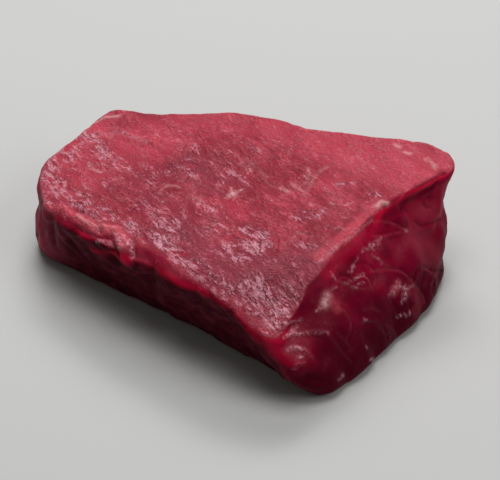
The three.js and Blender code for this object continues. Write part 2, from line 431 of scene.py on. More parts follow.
FRONT_MARKS: tuple[Mark, ...] = (
    # lobes of the rim, their paleness partly painted sheen of the wet, rounded edge
    ridge("first lobe of the rim", 1.6, 0.5, (48, 205), (56, 210), paint=Paint.PALE, amount=0.5),
    ridge(
        "second lobe of the rim", 1.4, 0.6,
        (62, 206), (68, 211), (73, 216), paint=Paint.PALE, amount=0.9,
    ),
    ridge("third lobe of the rim", 1.4, 0.6, (78, 217), (85, 222), (97, 226), paint=Paint.PALE, amount=0.8),
    ridge(
        "white lip of the third lobe", 0.55, 0.3,
        (78, 217), (84, 221.5), (91, 225), (97, 226), paint=Paint.FAT, amount=0.4,
    ),
    ridge("fourth lobe of the rim", 1.4, 0.6, (101, 227), (109, 229), (117, 230), paint=Paint.PALE),
    patch("pale skin of the fourth lobe", Paint.FAT, 1.2, 0.1, (101, 227), (109, 229), (117, 231)),
    glint("glints on the fourth lobe", 0.7, (103, 226), (110, 228), (116, 229), width=0.6),
    crease("crevice in the rim", 0.7, 1.2, (96, 222), (99, 228), (101, 233)),
    crease(
        "slit in the first lobe", 0.6, 0.6,
        (77, 210), (87, 212), (95, 218), paint=Paint.LIP, amount=0.6,
    ),
    crease("under-edge of the rim", 0.8, 0.5, (74, 226), (88, 234), (104, 238), (113, 238)),
    ridge("tag's body", 2.4, 0.8, (120, 236), (124, 243), (126, 250), paint=Paint.PALE, amount=0.55),
    patch("tag's pale skin", Paint.FAT, 1.7, 0.06, (119, 235), (123, 241), (126, 249)),
    glint("tag's second glints", 0.9, (123, 237), (127, 241), (129, 246), width=0.5, depth=0.15),
    crease("hollow behind the tag", 2.0, 0.7, (136, 252), (142, 255), (148, 259)),
    glint("tag's glints", 0.9, (117, 236), (119.5, 241), (122, 248), width=0.6),
    glint("tag's bright edge", 0.9, (131.4, 240), (132, 258), width=0.45, depth=0.3),
    crease("gap beside the tag", 0.7, 0.7, (134, 238), (134, 250), (133, 260)),
    crease("gap before the tag", 0.7, 0.8, (112, 240), (115, 249), (120, 258)),
    glint("glint below the rim", 1.0, (97, 241.5), (103, 240), (110, 243), width=0.5, depth=0.3),
    crease("fold in the front rim", 0.7, 0.6, (169, 252), (180, 254), (186, 252), paint=Paint.CORAL),
    crease("step in the front side", 1.6, 0.9, (150, 262), (152, 280), (150, 296)),
    ridge("bulge beside it", 2.6, 0.7, (165, 268), (168, 284), (163, 300)),
    crease("wrinkle of the front side", 1.3, 0.5, (196, 288), (200, 305), (196, 322)),
    crease("fold at the thin end", 1.4, 1.0, (52, 214), (50, 228), (55, 246)),
    ridge("lobe at the thin end", 1.8, 0.6, (41, 216), (40, 232), (43, 244), paint=Paint.CORAL, amount=0.4),
)

TOP_MARKS: tuple[Mark, ...] = (
    fold(
        "membrane line", 0.5, 0.22,
        (94, 134), (108, 131), (119, 132), (134, 137), (148, 142), (160, 150), (168, 159), (171, 170),
        paint=Paint.DULL_AND_SHADE, amount=0.5,
    ),
    patch("film along the line", Paint.GLOSS_AND_HIGHLIGHT, 0.9, 0.5, (112, 133), (125, 133), (140, 139), (147, 142)),
    patch("film by the left edge", Paint.GLOSS_AND_HIGHLIGHT, 1.2, 0.35, (86, 136), (98, 133), (110, 136)),
    ridge(
        "pale edge by the tuft", 0.6, 0.3,
        (95, 123), (104, 118), (119, 116), paint=Paint.FAT, amount=0.6,
    ),
    crease(
        "vein in the middle", 0.4, 0.15,
        (245, 157), (252, 164), (260, 170), (267, 176), (267, 182), (274, 186),
        paint=Paint.FAT, amount=0.16,
    ),
    ridge("vein's bright end", 0.5, 0.1, (280, 188), (289, 192), paint=Paint.FAT, amount=0.45),
    crease(
        "vein, right arm", 0.5, 0.15,
        (327, 167), (317, 174), (310, 184), (307, 193), paint=Paint.FAT, amount=0.24,
    ),
    crease(
        "vein, upright arm", 0.4, 0.1,
        (307, 167), (309, 174), (308, 181), (302, 185), paint=Paint.FAT, amount=0.2,
    ),
    crease("vein, left arm", 0.5, 0.1, (292, 184), (297, 188), (304, 191), paint=Paint.FAT, amount=0.35),
    ridge("fat star's middle", 0.8, 0.15, (230.5, 195), (234, 194), paint=Paint.FAT, amount=0.9),
    patch("fat star's ray up", Paint.FAT, 0.4, 0.5, (232, 193), (231, 188)),
    patch("fat star's ray right", Paint.FAT, 0.4, 0.6, (235, 193), (242, 190)),
    patch("fat star's ray left", Paint.FAT, 0.4, 0.6, (230, 196), (226, 198)),
    patch("fat star's ray down", Paint.FAT, 0.4, 0.4, (233, 195), (235, 199)),
    crease("gristle dot", 1.3, 0.2, (169, 190), (175, 189.5), paint=Paint.LIP, amount=0.65),
    ridge(
        "crescent round the dot", 0.45, 0.2,
        (161, 191), (165, 187), (174, 185.4), (180, 187.6), paint=Paint.FAT, amount=0.3,
    ),
    crease("curved wrinkle of the left rim", 0.6, 0.3, (63, 190), (82, 190), (99, 198), (106, 203)),
    crease("second curved wrinkle", 0.6, 0.3, (66, 199), (90, 198), (106, 206), (118, 214)),
    crease("third curved wrinkle", 0.6, 0.3, (78, 206), (91, 204), (106, 210), (117, 216)),
    crease("crack in the sheen", 0.5, 0.4, (226, 223), (233, 238), (246, 241), (251, 245), (257, 254)),
    crease("crack in the middle left", 0.5, 0.35, (182, 232), (189, 238), (190, 246)),
    fold(
        "line to the right rim", 0.5, 0.2,
        (283, 246), (290, 241), (298, 233), (313, 235), paint=Paint.GLOSS_AND_HIGHLIGHT, amount=0.3,
    ),
    ridge("vein by the tip", 0.5, 0.15, (426, 158.6), (433, 164), (436, 169), paint=Paint.FAT, amount=0.6),
    ridge("white mark at the back", 0.55, 0.1, (394, 144), (399, 147), paint=Paint.FAT, amount=0.6),
    patch("white mark beside it", Paint.FAT, 0.5, 0.7, (404.6, 152), (410.4, 154)),
    ridge("white spot on the left", 0.6, 0.1, (97, 147), (100, 147), paint=Paint.FAT, amount=0.7),
    patch("white line on the left", Paint.FAT, 0.4, 0.6, (89, 163), (90, 168), (102, 172)),
    ridge(
        "tuft on the right rim", 0.8, 0.4,
        (377, 207), (381, 202), (386.5, 203.6), paint=Paint.FAT, amount=0.6,
    ),
    # painted highlights along the right rim
    patch("pale band of the right rim", Paint.GLOSS_AND_HIGHLIGHT, 0.6, 0.5, (356, 234), (363, 227), (371, 220)),
    patch("pale band further down", Paint.GLOSS_AND_HIGHLIGHT, 0.5, 0.4, (337, 245), (352, 237)),
    patch("pale specks of the rim", Paint.GLOSS_AND_HIGHLIGHT, 0.7, 0.5, (318, 262), (328, 254), (337, 246)),
    # painted sheen on the rounded shoulder of the rim
    patch("pale shoulder of the rim", Paint.PALE, 2.2, 0.6, (320, 256), (340, 240), (360, 222), (378, 206)),
)

# wet patches, smoother and with painted sheen, among painted highlights and paler tissue
SHEEN_PATCHES: tuple[Mark, ...] = (
    patch("patch by the middle", Paint.WET_AND_SHEEN, 2.6, 1.1, (246, 229), (263, 235)),
    patch("large patch", Paint.WET_AND_SHEEN, 5.2, 1.2, (238, 250), (253, 248)),
    patch("patch beyond it", Paint.WET_AND_SHEEN, 2.2, 1.1, (258, 247), (268, 247)),
    patch("patch to its left", Paint.WET_AND_SHEEN, 3.0, 0.6, (222, 250), (232, 258)),
    patch("nose field", Paint.WET_AND_SHEEN, 6.0, 1.0, (254, 292), (270, 303), (280, 318)),
    patch("nose field, back", Paint.WET_AND_SHEEN, 2.6, 0.9, (258, 283), (270, 285)),
    patch("nose field, right", Paint.WET_AND_SHEEN, 5.0, 0.6, (284, 296), (302, 298)),
    glint(
        "bright streak of the nose", 0.9,
        (250, 311), (258, 314), (266, 322), (273, 329), width=0.7, depth=0.4,
    ),
    patch("front rim, first", Paint.WET_AND_SHEEN, 3.0, 0.9, (134, 227), (150, 236)),
    patch("front rim, second", Paint.WET_AND_SHEEN, 2.8, 1.2, (154, 238), (174, 252)),
    patch("front rim, third", Paint.WET_AND_SHEEN, 3.4, 1.0, (178, 256), (198, 270)),
    patch("front rim, fourth", Paint.WET_AND_SHEEN, 3.0, 1.0, (203, 276), (226, 290)),
    patch("broad left field", Paint.WET_AND_SHEEN, 9.0, 0.3, (70, 160), (100, 185)),
    patch("left edge field", Paint.WET_AND_SHEEN, 6.0, 0.8, (52, 165), (66, 150), (84, 138)),
    patch("left rim field", Paint.WET_AND_SHEEN, 6.0, 0.9, (48, 168), (56, 192)),
    patch("left front field", Paint.WET_AND_SHEEN, 5.0, 0.8, (60, 194), (88, 204)),
    patch("left front field, further", Paint.WET_AND_SHEEN, 3.5, 0.7, (88, 206), (112, 216)),
    patch("left back field", Paint.WET_AND_SHEEN, 4.0, 0.8, (84, 140), (104, 152)),
    patch("field below the line", Paint.WET_AND_SHEEN, 7.0, 0.4, (120, 165), (160, 175)),
    patch("middle left field", Paint.WET_AND_SHEEN, 9.0, 0.5, (150, 210), (200, 222)),
    patch("middle field", Paint.WET_AND_SHEEN, 8.0, 0.4, (190, 160), (235, 175)),
    patch("streaks on the right, first", Paint.WET_AND_SHEEN, 0.8, 0.9, (334, 184), (345, 184), (357, 182)),
    patch("streaks on the right, second", Paint.WET_AND_SHEEN, 1.4, 0.8, (298, 218), (316, 217), (331, 205)),
    patch("streaks on the right, third", Paint.WET_AND_SHEEN, 0.8, 0.9, (296, 212), (311, 212)),
    patch("streaks on the right, fourth", Paint.WET_AND_SHEEN, 1.0, 0.8, (322, 228), (340, 229)),
    patch("streaks on the right, fifth", Paint.WET_AND_SHEEN, 1.4, 0.8, (296, 245), (317, 245)),
    patch("streaks on the right, sixth", Paint.WET_AND_SHEEN, 0.9, 0.9, (370, 193), (379, 195)),
    patch("streaks in the middle", Paint.WET_AND_SHEEN, 1.0, 0.8, (262, 261), (278, 260)),
    # the flake: a painted highlight on a pale ground
    glint("flake on the cut", 1.0, (327, 295), (326, 299), (324, 304), width=1.1),
    patch("flake's ground", Paint.FAT, 1.4, 0.4, (327, 296), (325, 303)),
    glint("flake's tail", 0.8, (324, 305), (321, 308), (316.5, 311.5)),
    ridge(
        "salmon patch on the cut", 1.5, 0.15,
        (330, 299), (333.5, 304), (337, 310), paint=Paint.PALE, amount=0.35,
    ),
    patch(
        "pale skin beside the gloss", Paint.PALE, 2.6, 0.13,
        (409, 287), (415, 294), (419, 303), (417, 311),
    ),
    patch("pale ground of the patch", Paint.PALE, 1.8, 0.35, (397, 286), (394, 291)),
    patch("pale shoulder of the cut", Paint.PALE, 2.0, 0.3, (334, 256), (343, 249), (352, 241), (362, 232)),
    patch("dull right cell", Paint.DULL_AND_SHADE, 5.0, 0.45, (412, 232), (424, 250), (436, 262)),
    patch("pale right cell", Paint.PALE, 4.5, 0.14, (414, 236), (424, 250), (434, 260)),
)

# patches of colour, of painted shade and of painted sheen
COLOUR_SHADE_AND_SHEEN_PATCHES: tuple[Mark, ...] = (
    patch("warm patch below the star", Paint.CORAL, 3.4, 0.45, (232, 203), (240, 215)),
    patch("warm patch by the veins", Paint.CORAL, 3.0, 0.5, (316, 188), (328, 182)),
    patch("warm patch at the back", Paint.CORAL, 3.0, 0.4, (264, 123), (274, 126)),
    patch("warm patch at the far left", Paint.CORAL, 2.6, 0.35, (150, 150), (160, 160)),
    patch("warm rim on the left", Paint.CORAL, 2.0, 0.2, (40, 186), (42, 172), (54, 160), (72, 147)),
    # painted sheen over the back and the left edge of the top
    patch("pale back on the right", Paint.PALE, 13.0, 0.55, (330, 140), (380, 155), (425, 172)),
    patch("pale back", Paint.PALE, 7.0, 0.35, (180, 120), (250, 122), (300, 130)),
    patch("pale left edge", Paint.PALE, 7.0, 0.85, (44, 188), (46, 172), (62, 156), (90, 134)),
    patch("pale field of the left", Paint.PALE, 12.0, 0.45, (80, 175), (110, 155), (150, 140)),
    # painted shade of the top where it slopes down to the nose
    patch("deep colour by the nose", Paint.DULL_AND_SHADE, 9.0, 0.5, (240, 268), (290, 275), (310, 262)),
    patch("deep colour along the front", Paint.DULL_AND_SHADE, 7.0, 0.5, (170, 235), (215, 262), (240, 280)),
    # paler lobes of the left front, partly painted sheen
    patch("pale lobe of the left front", Paint.PALE, 3.0, 0.8, (57, 190), (66, 193), (74, 198)),
    patch("pale left front", Paint.PALE, 4.5, 0.4, (70, 196), (95, 206), (108, 215)),
    patch("dull middle", Paint.DULL_AND_SHADE, 7.0, 0.45, (170, 230), (200, 245)),
    patch("dull patch above", Paint.DULL_AND_SHADE, 8.0, 0.3, (185, 170), (215, 180)),
    patch("dull patch by the line", Paint.DULL_AND_SHADE, 6.0, 0.25, (120, 180), (150, 190)),
    # painted shade on the nose's slope, in hollows and under the lip and the tuft, and a few darker cells
    patch("dark slope of the nose", Paint.SHADE_AND_DEEP_RED, 7.0, 0.6, (314, 312), (330, 325), (332, 350)),
    patch("dark hollow in the middle", Paint.SHADE_AND_DEEP_RED, 6.0, 0.5, (350, 294), (368, 304), (384, 322)),
    patch("dark cell by the star", Paint.SHADE_AND_DEEP_RED, 2.2, 0.45, (383, 250), (388, 254)),
    patch("dark flesh below the lip", Paint.SHADE_AND_DEEP_RED, 2.6, 0.45, (340, 264), (350, 262), (346, 274)),
    patch("dark corner under the tuft", Paint.SHADE_AND_DEEP_RED, 2.0, 0.35, (388, 212), (400, 208)),
    patch("dark cell by the seam", Paint.SHADE_AND_DEEP_RED, 1.6, 0.4, (398, 222), (406, 224)),
    patch("dark middle of the lower cell", Paint.SHADE_AND_DEEP_RED, 2.6, 0.35, (376, 278), (388, 279)),
    patch("dark shade under the lip", Paint.SHADE_AND_DEEP_RED, 1.6, 0.5, (432, 188), (418, 196), (404, 203)),
    patch("dull upper cell of the cut", Paint.DULL_AND_SHADE, 3.0, 0.4, (420, 212), (432, 214)),
    patch("dull middle cell of the cut", Paint.DULL_AND_SHADE, 3.0, 0.3, (392, 246), (396, 252)),
)

MARKS: tuple[Mark, ...] = (
    CUT_CREASES + MEMBRANES_AND_HIGHLIGHTS + GLINTS + RIM_GLOW_MARKS + NOSE_MARKS + FRONT_MARKS + TOP_MARKS + SHEEN_PATCHES
    + COLOUR_SHADE_AND_SHEEN_PATCHES
)


# ---------------------------------------------------------------------------------- the skin


class Face(Enum):
    """A part of the slab's skin. Each value names its layer of weights."""

    TOP = "top"
    CUT = "cut"
    FLANK = "flank"
    OUTER = "outer"
    SIDE = "side"


FINISHED_FACES = (Face.TOP, Face.CUT, Face.FLANK)
# the layer of painted shade in creases and folds
PAINTED_CREASE_SHADE = "hollow"


def ease(values: np.ndarray, low: float, high: float) -> np.ndarray:
    """Rises smoothly from 0 at low to 1 at high.

    Args:
        values: Any numbers.
        low: Where the rise starts.
        high: Where it ends.

    Returns:
        Numbers between 0 and 1.
    """
    share = np.clip((values - low) / (high - low), 0.0, 1.0)
    return share * share * (3.0 - 2.0 * share)


def along_grain(places: np.ndarray, turn: float, stretch: float) -> np.ndarray:
    """Places in axes that follow the grain, so that a pattern on them is drawn out along it.

    Args:
        places: One place a row.
        turn: Which way the grain runs, from +X towards +Y.
        stretch: How many times longer than wide the pattern gets.

    Returns:
        Each place's distances along the grain, across it and upwards.
    """
    cos, sin = math.cos(math.radians(turn)), math.sin(math.radians(turn))
    along = (places[:, 0] * cos + places[:, 1] * sin) / stretch
    return np.stack([along, places[:, 1] * cos - places[:, 0] * sin, places[:, 2]], 1)


@dataclass(frozen=True)
class Bundles:
    """Cells of muscle that swell a little between creases, all over one face.

    The bend and the pillow's shoulder are shares of a cell's size.
    """

    name: str
    face: Face
    size: float
    stretch: float
    turn: float
    swell: float
    crease: float
    crease_width: float
    seed: int
    bend: float = 0.3
    bend_waves: float = 2.1
    shoulder: float = 0.35
    # painted shade at the bottom of a crease
    crease_shade: float = 0.6

    def heights(self, places: np.ndarray) -> np.ndarray:
        """How far the cells move each place out of the skin.

        Args:
            places: One place a row.

        Returns:
            A height for each place.
        """
        waves = np.sin(places[:, [1, 2, 0]] * (self.bend_waves / self.size) + self.seed)
        laid = along_grain(places + self.bend * self.size * waves, self.turn, self.stretch)
        low, span = laid.min(0), np.ptp(laid, 0)
        count = int(np.prod(np.maximum(span, self.size) / self.size))
        centres = low + np.random.default_rng(self.seed).random((count, 3)) * span
        tree = KDTree(count)
        for index, centre in enumerate(centres):
            tree.insert(centre, index)
        tree.balance()
        found = np.array([[near[2] for near in tree.find_n(place, 2)] for place in laid])
        to_crease = (found[:, 1] - found[:, 0]) / 2
        pillow = self.swell * ease(to_crease, 0.0, self.shoulder * self.size)
        return pillow - self.crease * np.exp(-((to_crease / self.crease_width) ** 2))


@dataclass(frozen=True)
class Ripples:
    """Shallow waves drawn out along the grain, all over one face.

    Each octave is octave_step times finer than the one before, and weaker where the softness is high.
    """

    name: str
    face: Face
    size: float
    stretch: float
    turn: float
    height: float
    softness: float = 1.0
    octave_step: float = 2.0
    octaves: int = 3

    def heights(self, places: np.ndarray) -> np.ndarray:
        """How far the waves move each place out of the skin.

        Args:
            places: One place a row.

        Returns:
            A height for each place.
        """
        laid = along_grain(places, self.turn, self.stretch) / self.size
        kind = (self.softness, self.octave_step, self.octaves)
        waves = [noise.fractal(Vector(place), *kind, noise_basis="PERLIN_NEW") for place in laid]
        return self.height * np.array(waves)


@dataclass
class Trace:
    """The skin's points near a mark's line, and how each of them lies to it.

    Near holds their numbers, far how far they are from the line, left how far to the left of it, to_end
    how far along it from its nearer end, and toward how much they face as it does.
    """

    near: np.ndarray
    far: np.ndarray
    left: np.ndarray
    to_end: np.ndarray
    toward: np.ndarray


@dataclass(frozen=True)
class Brush:
    """How a mark's width and depth turn into relief and paint.

    The taper, the fold's places and the patch's core and edge are shares of the mark's width.
    """

    reach: float = 3.0
    facing: Pair = (0.1, 0.5)
    blunt_end: float = 0.35
    taper: float = 1.5
    fold_lip_at: float = 1.1
    fold_lip_height: float = 0.7
    fold_dip_at: float = -0.5
    fold_dip_width: float = 0.7
    # how deep a crease or fold is where its painted shade is full
    full_hollow_depth: float = 0.8
    patch_from_width: float = 1.5
    patch_core: float = 0.4
    patch_edge: float = 1.3

    def fades(self, mark: Mark, trace: Trace) -> np.ndarray:
        """How much of a mark's relief reaches each point.

        Args:
            mark: The mark.
            trace: The points near it.

        Returns:
            Shares between 0 and 1, less where the skin turns away or a crease ends.
        """
        shares = ease(trace.toward, *self.facing)
        if mark.form in (Form.CREASE, Form.FOLD):
            shares = shares * (
                self.blunt_end + (1.0 - self.blunt_end) * ease(trace.to_end, 0.0, self.taper * mark.width)
            )
        return shares

    def fold(self, mark: Mark, trace: Trace) -> tuple[np.ndarray, np.ndarray]:
        """The raised lip and the dip of a fold.

        Args:
            mark: The fold.
            trace: The points near it.

        Returns:
            How much of the lip, and of the dip, there is at each point.
        """
        past_end = (trace.far - np.abs(trace.left)) ** 2
        lip_off = (trace.left - self.fold_lip_at * mark.width) / mark.width
        dip_off = (trace.left - self.fold_dip_at * mark.width) / (self.fold_dip_width * mark.width)
        return self.fold_lip_height * np.exp(-(lip_off**2) - past_end), np.exp(-(dip_off**2) - past_end)

    def paint(self, mark: Mark, trace: Trace) -> np.ndarray:
        """How strongly a mark colours each point.

        Args:
            mark: The mark.
            trace: The points near it.

        Returns:
            The strengths. A thin mark fades like a bell, and a wide one has a full core.
        """
        if mark.width < self.patch_from_width:
            soft = np.exp(-((trace.far / mark.width) ** 2))
        else:
            soft = 1 - ease(trace.far, self.patch_core * mark.width, self.patch_edge * mark.width)
        return soft * ease(trace.toward, *self.facing) * mark.amount


class Skin:
    """The slab's points while they are worked: how far each moves out, and its layers for the finish."""

    def __init__(self, piece: bpy.types.Object) -> None:
        """Reads the points of a piece.

        Args:
            piece: The subdivided piece.
        """
        self.mesh = piece.data
        self.tree = BVHTree.FromObject(piece, bpy.context.evaluated_depsgraph_get())
        self.places = self._read("co") / MM
        self.normals = self._read("normal")
        self.out = np.zeros(len(self.places))
        # painted shade in the creases and folds
        self.hollow = np.zeros(len(self.places))
        self.paints = {paint: np.zeros(len(self.places)) for paint in PAINTS}

    def _read(self, name: str) -> np.ndarray:
        """Reads one vector for each point.

        Args:
            name: What to read of each point.

        Returns:
            The vectors, one a row.
        """
        values = np.empty(len(self.mesh.vertices) * 3)
        self.mesh.vertices.foreach_get(name, values)
        return values.reshape(-1, 3)

    def line(self, mark: Mark, view: PhotoView, step: float) -> Line:
        """Finds where a mark's path lies on the slab.

        Args:
            mark: The mark.
            view: The camera, which the path is seen from.
            step: How far apart the places are.

        Returns:
            Places along the path, each with the way the skin faces there.
        """
        found = []
        for start, end in zip(mark.path, mark.path[1:]):
            steps = max(1, round(math.dist(start, end) * view.mm_per_pixel / step))
            for index in range(steps):
                share = index / steps
                pixel = (start[0] + (end[0] - start[0]) * share, start[1] + (end[1] - start[1]) * share)
                found.append(self.tree.ray_cast(view.place, view.ray(pixel)))
        found.append(self.tree.ray_cast(view.place, view.ray(mark.path[-1])))
        return [(np.array(hit[0]) / MM, np.array(hit[1])) for hit in found if hit[0] is not None]

    def trace(self, line: Line, reach: float) -> Trace:
        """Measures how the points near a line lie to it.

        Args:
            line: Places on the skin, each with the way it faces.
            reach: How far from the line the points may be.

        Returns:
            The points and their measures.
        """
        points, facing = np.array([hit[0] for hit in line]), np.array([hit[1] for hit in line])
        inside = (self.places > points.min(0) - reach) & (self.places < points.max(0) + reach)
        near = np.flatnonzero(np.all(inside, axis=1))
        count = len(near)
        trace = Trace(near, np.full(count, FAR_AWAY), np.zeros(count), np.zeros(count), np.zeros(count))
        lengths = np.linalg.norm(np.diff(points, axis=0), axis=1)
        travelled = np.concatenate([[0.0], np.cumsum(lengths)])
        for k, length in enumerate(lengths):
            along = (points[k + 1] - points[k]) / max(length, TINY)
            off = self.places[near] - points[k]
            t = np.clip(off @ along, 0.0, length)
            gap = off - t[:, None] * along
            far = np.linalg.norm(gap, axis=1)
            closer = far < trace.far
            trace.far[closer] = far[closer]
            trace.left[closer] = (gap @ np.cross(facing[k], along))[closer]
            trace.to_end[closer] = np.minimum(travelled[k] + t, travelled[-1] - travelled[k] - t)[closer]
            trace.toward[closer] = (self.normals[near] @ facing[k])[closer]
        return trace

    def work(self, mark: Mark, line: Line, brush: Brush) -> None:
        """Adds one mark to the relief and to the finish.

        Args:
            mark: What to add.
            line: Where it lies on the skin.
            brush: How it turns into relief and paint.
        """
        trace = self.trace(line, brush.reach * mark.width)
        near = trace.near
        fades = brush.fades(mark, trace)
        bell = np.exp(-((trace.far / mark.width) ** 2)) * fades
        if mark.form is Form.CREASE:
            self.out[near] -= mark.depth * bell
        elif mark.form is Form.RIDGE:
            self.out[near] += mark.depth * bell
        elif mark.form is Form.FOLD:
            lip, dip = brush.fold(mark, trace)
            self.out[near] += mark.depth * (lip - dip) * fades
            bell = dip * fades
        # creases and folds get painted shade, fuller where they are deeper
        if mark.form in (Form.CREASE, Form.FOLD):
            shade = bell * min(1.0, mark.depth / brush.full_hollow_depth)
            self.hollow[near] = np.maximum(self.hollow[near], shade)
        if mark.paint is not Paint.NONE:
            layer = self.paints[mark.paint]
            layer[near] = np.maximum(layer[near], brush.paint(mark, trace))

    def store(self, faces: dict[Face, np.ndarray]) -> None:
        """Moves the mesh's points, inside the solid's box, and stores the layers that the finish reads.

        Args:
            faces: A weight for each point, by the face.
        """
        moved = (self.places + self.normals * self.out[:, None]) * MM
        moved = np.clip(moved, np.array(CAD_BOX[0]), np.array(CAD_BOX[1]))
        self.mesh.vertices.foreach_set("co", moved.ravel())
        layers = {face.value: faces[face] for face in FINISHED_FACES}
        layers.update({paint.value: values for paint, values in self.paints.items()})
        layers[PAINTED_CREASE_SHADE] = self.hollow
        for name, values in layers.items():
            layer = self.mesh.attributes.new(name, "FLOAT", "POINT")
            layer.data.foreach_set("value", values.astype(np.float32))
        self.mesh.update()


# ---------------------------------------------------------------------------------- the slab


@dataclass
class SteakSlab:
    """The slab of meat: its subdivided skin, the marks in it and its finish.

    A direction is level, and a turn or slope tells where a face's weight starts and where it is full.
    """

    view: PhotoView
    name: str = "steak_meat"
    node: str = "steak"
    weld_m: float = 1e-6
    quad_bend: float = 50.0
    quad_shape: float = 70.0
    subdivisions: int = 2
    top_slope: Pair = (0.55, 0.85)
    under_slope: Pair = (0.6, 0.9)
    cut_direction: Pair = (0.825, -0.565)
    cut_turn: Pair = (0.25, 0.7)
    nose_direction: Pair = (0.1, -1.0)
    nose_turn: Pair = (0.8, 0.97)
    nose_from_x: Pair = (2.0, 12.0)
    flank_direction: Pair = (-0.63, -0.776)
    flank_turn: Pair = (0.0, 0.6)
    foot_fade: float = 2.0
    path_step: float = 1.0
    brush: Brush = Brush()
    bundles: Bundles = Bundles("outer sides", Face.OUTER, 10.0, 1.5, 0.0, 0.45, 0.3, 0.9, 17)
    ripples: tuple[Ripples, ...] = (
        Ripples("cut top", Face.TOP, 4.5, 2.2, -52.0, 0.35),
        Ripples("sides", Face.SIDE, 5.5, 1.3, 0.0, 0.35),
    )

    def build(self) -> bpy.types.Object:
        """Makes the piece.

        Returns:
            The finished mesh object, which stands for the solid.
        """
        piece = self._copy_of_solid()
        self._subdivide(piece)
        self._work_the_skin(piece)
        piece.data.materials.clear()
        piece.data.materials.append(MeatShader(MeatFinish()).material())
        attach(piece, "root")
        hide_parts(self.node)
        return piece

    def _copy_of_solid(self) -> bpy.types.Object:
        """Copies the solid and merges its loose triangles.

        Returns:
            The copy, with one point at each corner and mostly four-sided faces.
        """
        bpy.ops.object.select_all(action="DESELECT")
        solid = frame["nodes"][self.node]
        solid.select_set(True)
        bpy.context.view_layer.objects.active = solid
        bpy.ops.object.duplicate(linked=False)
        piece = bpy.context.object
        for key in [key for key in piece.keys() if key.startswith("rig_")]:
            del piece[key]
        bpy.ops.object.parent_clear(type="CLEAR")
        piece.name = self.name
        piece.data.name = self.name
        bpy.ops.mesh.customdata_custom_splitnormals_clear()
        bpy.ops.object.mode_set(mode="EDIT")
        bpy.ops.mesh.select_all(action="SELECT")
        bpy.ops.mesh.remove_doubles(threshold=self.weld_m)
        bpy.ops.mesh.tris_convert_to_quads(
            face_threshold=math.radians(self.quad_bend), shape_threshold=math.radians(self.quad_shape)
        )
        bpy.ops.object.mode_set(mode="OBJECT")
        bpy.ops.object.shade_smooth()
        return piece

    def _subdivide(self, piece: bpy.types.Object) -> None:
        """Rounds and refines the skin.

        Args:
            piece: The merged copy, which is the active object.
        """
        bpy.ops.object.modifier_add(type="SUBSURF")
        modifier = piece.modifiers[-1]
        modifier.levels = self.subdivisions
        modifier.render_levels = self.subdivisions
        bpy.ops.object.modifier_apply(modifier=modifier.name)

    def _work_the_skin(self, piece: bpy.types.Object) -> None:
        """Presses the marks, bundles and ripples into the skin, and stores what the finish reads.

        Args:
            piece: The subdivided piece.
        """
        skin = Skin(piece)
        faces = self._faces(skin.places, skin.normals)
        for mark in MARKS:
            line = skin.line(mark, self.view, self.path_step)
            if len(line) < 2:
                LOG.warning("mark %s misses the slab", mark.name)
                continue
            skin.work(mark, line, self.brush)
        bundles = self.bundles
        heights = bundles.heights(skin.places)
        skin.out += heights * faces[bundles.face]
        # painted shade in the bundles' creases
        bundle_crease_shade = np.clip(-heights / bundles.crease, 0, 1) * bundles.crease_shade * faces[bundles.face]
        skin.hollow = np.maximum(skin.hollow, bundle_crease_shade)
        LOG.info("pressed the bundles of the %s", bundles.name)
        for ripples in self.ripples:
            skin.out += ripples.heights(skin.places) * faces[ripples.face]
            LOG.info("rippled the %s", ripples.name)
        skin.out *= ease(skin.places[:, 2], 0.0, self.foot_fade)
        skin.store(faces)

    def _faces(self, places: np.ndarray, normals: np.ndarray) -> dict[Face, np.ndarray]:
        """How much each point of the skin belongs to each face of the slab.

        Args:
            places: The skin's points.
            normals: Which way each faces.

        Returns:
            A weight between 0 and 1 for each point, by the face.
        """
        top = ease(normals[:, 2], *self.top_slope)
        under = ease(-normals[:, 2], *self.under_slope)
        side = (1 - top) * (1 - under)
        level = normals[:, :2] / np.maximum(np.linalg.norm(normals[:, :2], axis=1), TINY)[:, None]
        cut = side * ease(level @ np.array(self.cut_direction), *self.cut_turn)
        nose = side * ease(level @ np.array(self.nose_direction), *self.nose_turn)
        cut = np.maximum(cut, nose * ease(places[:, 0], *self.nose_from_x))
        flank = side * (1 - cut) * ease(level @ np.array(self.flank_direction), *self.flank_turn)
        return {
            Face.TOP: np.maximum(top, under),
            Face.CUT: side - flank,
            Face.FLANK: flank,
            Face.OUTER: side * (1 - cut),
            Face.SIDE: side,
        }


# ---------------------------------------------------------------------------------- the finish


